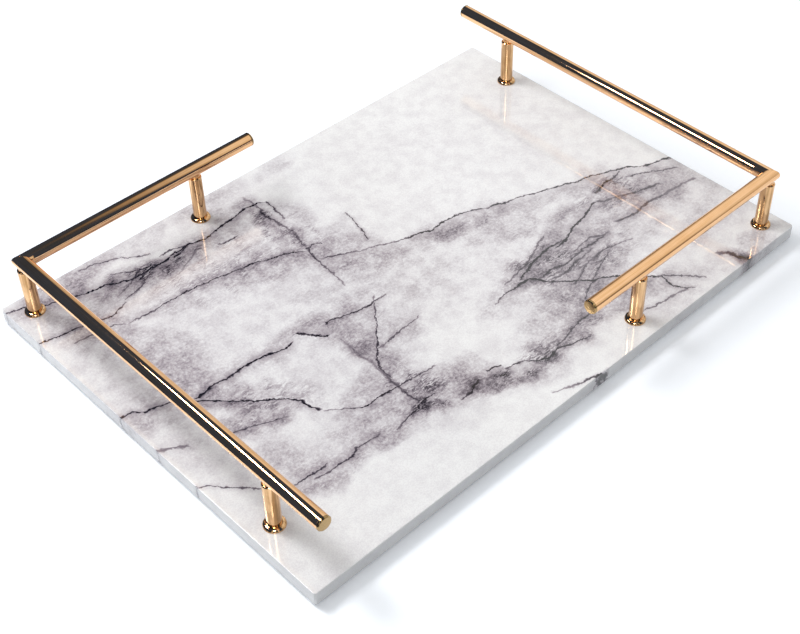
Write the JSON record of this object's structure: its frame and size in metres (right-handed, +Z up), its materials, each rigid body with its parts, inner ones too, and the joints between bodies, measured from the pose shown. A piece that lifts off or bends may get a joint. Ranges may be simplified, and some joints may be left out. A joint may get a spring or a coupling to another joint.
{
  "type": "vanity tray",
  "caption": "Rectangular polished stone tray with mitred L-shaped tube rails on slim round posts at opposite corners, for perfume and vanity items.",
  "frame": {"origin": "centre of the tray, on the plane that the feet stand on", "axes": "+X along the slab's length, +Y along its width towards the left rail's corner, +Z up"},
  "size_m": [0.42, 0.3, 0.0575],
  "materials": {
    "marble": "polished",
    "gold_tube": "polished gold plate",
    "gold_cap": "polished gold plate",
    "gold_post": "polished gold plate",
    "gold_neck": "polished gold plate",
    "gold_rosette": "polished gold plate",
    "insert_brass": "machined",
    "screw_steel": "zinc plated",
    "foot_rubber": "matte"
  },
  "bodies": {
    "root": {"marble_slab": "marble", "left_long_bar": "gold_tube", "left_short_bar": "gold_tube", "right_long_bar": "gold_tube", "right_short_bar": "gold_tube", "left_long_end_cap": "gold_cap", "left_short_end_cap": "gold_cap", "right_long_end_cap": "gold_cap", "right_short_end_cap": "gold_cap", "left_corner_post": "gold_post", "left_long_post": "gold_post", "left_short_post": "gold_post", "right_corner_post": "gold_post", "right_long_post": "gold_post", "right_short_post": "gold_post", "left_corner_neck": "gold_neck", "left_long_neck": "gold_neck", "left_short_neck": "gold_neck", "right_corner_neck": "gold_neck", "right_long_neck": "gold_neck", "right_short_neck": "gold_neck", "left_corner_rosette": "gold_rosette", "left_long_rosette": "gold_rosette", "left_short_rosette": "gold_rosette", "right_corner_rosette": "gold_rosette", "right_long_rosette": "gold_rosette", "right_short_rosette": "gold_rosette", "threaded_inserts": "insert_brass", "post_screws": "screw_steel", "screw_washers": "screw_steel", "front_left_foot": "foot_rubber", "front_right_foot": "foot_rubber", "rear_left_foot": "foot_rubber", "rear_right_foot": "foot_rubber"}
  },
  "joints": []
}
